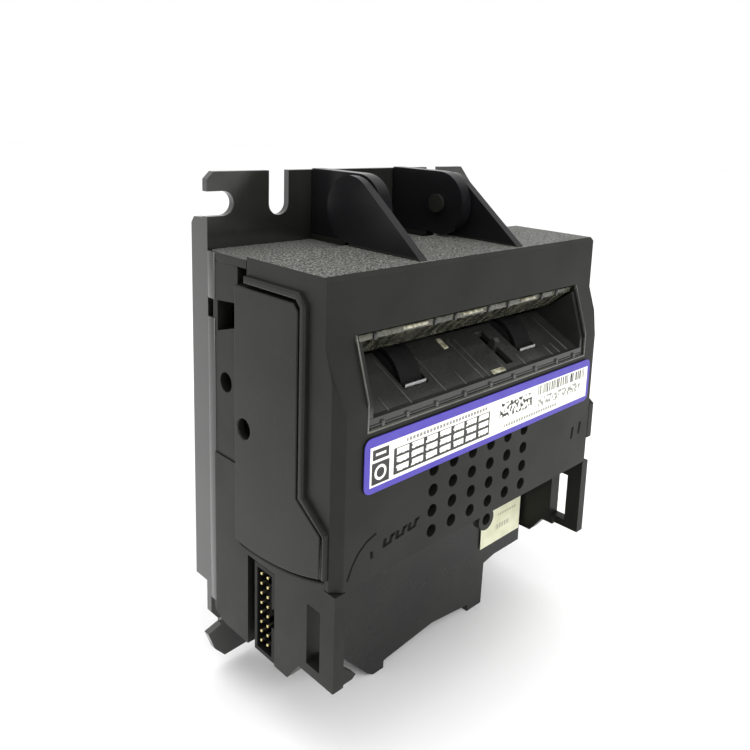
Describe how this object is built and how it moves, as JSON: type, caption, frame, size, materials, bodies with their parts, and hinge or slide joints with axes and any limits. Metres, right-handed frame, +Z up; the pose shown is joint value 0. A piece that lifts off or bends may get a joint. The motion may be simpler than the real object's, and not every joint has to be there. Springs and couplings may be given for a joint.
{
  "type": "bill validator",
  "caption": "Compact banknote validator head: moulded chassis on a hook-in mounting plate, swing-up front door with wide note mouth, belts and a side connector.",
  "frame": {"origin": "centre of the bounding box at its base, under the feet of the lower housing", "axes": "+Z up, -Y out of the front face with the note mouth, +X to the right when the front face is seen from outside"},
  "size_m": [0.1024, 0.0578, 0.1339],
  "materials": {
    "moulded_black": "fine satin spark texture, slightly worn edges",
    "plate_black": "smooth semi-gloss moulding with flow marks",
    "housing_black": "satin moulding",
    "guide_black": "polished note path",
    "smoked_plastic": "dark smoky polished plastic",
    "sensor_red": "infrared window plastic",
    "circuit_board": "solder mask",
    "chip_black": "moulded package",
    "capacitor_can": "sleeved can",
    "header_black": "glass filled nylon",
    "gold_pins": "gold flash",
    "steel": "ground and bright",
    "zinc_screw": "zinc plated",
    "bearing_bronze": "sintered bronze",
    "gear_plastic": "natural acetal",
    "pulley_plastic": "acetal",
    "belt_rubber": "fine rubber",
    "roller_rubber": "ground rubber",
    "label_paper": "coated label with violet border",
    "sticker_paper": "aged paper sticker"
  },
  "bodies": {
    "chassis": {"belt_left": "belt_rubber", "belt_right": "belt_rubber", "board_capacitor_left": "capacitor_can", "board_capacitor_right": "capacitor_can", "connector_board": "circuit_board", "connector_header": "header_black", "drive_bushing_left": "bearing_bronze", "drive_bushing_right": "bearing_bronze", "drive_motor": "steel", "header_pins": "gold_pins", "hinge_pin_left": "steel", "hinge_pin_right": "steel", "housing_sticker": "sticker_paper", "idler_pin": "steel", "inlet_guide": "guide_black", "lower_housing": "housing_black", "main_board": "circuit_board", "motor_bracket": "steel", "mounting_plate": "plate_black", "plate_screw_left_lower": "zinc_screw", "plate_screw_left_upper": "zinc_screw", "plate_screw_right_lower": "zinc_screw", "plate_screw_right_upper": "zinc_screw", "processor_chip": "chip_black", "rear_guide": "guide_black", "sensor_board": "circuit_board", "sensor_lens": "sensor_red", "side_frame_left": "moulded_black", "side_frame_right": "moulded_black", "top_bridge": "moulded_black", "upper_bushing_left": "bearing_bronze", "upper_bushing_right": "bearing_bronze"},
    "front_door": {"front_cover": "moulded_black", "side_panel_left": "moulded_black", "side_panel_right": "moulded_black", "exit_chute": "guide_black", "upper_guide": "smoked_plastic", "pinch_shaft": "steel", "flag_pin": "steel", "info_label": "label_paper", "belt_strip_left": "steel", "belt_strip_right": "steel"},
    "motor_rotor": {"motor_pinion": "gear_plastic", "encoder_disc": "guide_black"},
    "idler": {"idler_gear": "gear_plastic"},
    "drive_line": {"drive_shaft": "steel", "drive_gear": "gear_plastic", "lower_pulley_left": "pulley_plastic", "lower_pulley_right": "pulley_plastic"},
    "upper_line": {"upper_shaft": "steel", "upper_pulley_left": "pulley_plastic", "upper_pulley_right": "pulley_plastic"},
    "pinch_left": {"pinch_roller_left": "roller_rubber"},
    "pinch_right": {"pinch_roller_right": "roller_rubber"},
    "flag": {"exit_flag": "guide_black"}
  },
  "joints": [
    {"name": "door_hinge", "type": "hinge", "parent": "chassis", "child": "front_door", "pos_m": [0, 0.00302, 0.1251], "axis": [-1, 0, 0], "range_deg": [0, 80]},
    {"name": "drive_spin", "type": "hinge", "parent": "chassis", "child": "drive_line", "pos_m": [0, -0.00838, 0.0567], "axis": [1, 0, 0], "continuous": true},
    {"name": "upper_spin", "type": "hinge", "parent": "chassis", "child": "upper_line", "pos_m": [0, -0.01137, 0.0847], "axis": [1, 0, 0], "continuous": true},
    {"name": "idler_spin", "type": "hinge", "parent": "chassis", "child": "idler", "pos_m": [0.0435, 0.00578, 0.04146], "axis": [1, 0, 0], "continuous": true},
    {"name": "motor_spin", "type": "hinge", "parent": "chassis", "child": "motor_rotor", "pos_m": [0.03, 0.00483, 0.0287], "axis": [1, 0, 0], "continuous": true},
    {"name": "pinch_left_spin", "type": "hinge", "parent": "front_door", "child": "pinch_left", "pos_m": [-0.022, -0.01137, 0.0993], "axis": [1, 0, 0], "continuous": true},
    {"name": "pinch_right_spin", "type": "hinge", "parent": "front_door", "child": "pinch_right", "pos_m": [0.022, -0.01137, 0.0993], "axis": [1, 0, 0], "continuous": true},
    {"name": "flag_tip", "type": "hinge", "parent": "front_door", "child": "flag", "pos_m": [0.011, -0.01638, 0.0823], "axis": [1, 0, 0], "range_deg": [0, 30], "stiffness_Nm_per_rad": 0.002}
  ],
  "couplings": [
    {"joint": "upper_spin", "follows": "drive_spin", "ratio": 0.69697},
    {"joint": "idler_spin", "follows": "drive_spin", "ratio": -1.6},
    {"joint": "motor_spin", "follows": "drive_spin", "ratio": 2.6667}
  ]
}
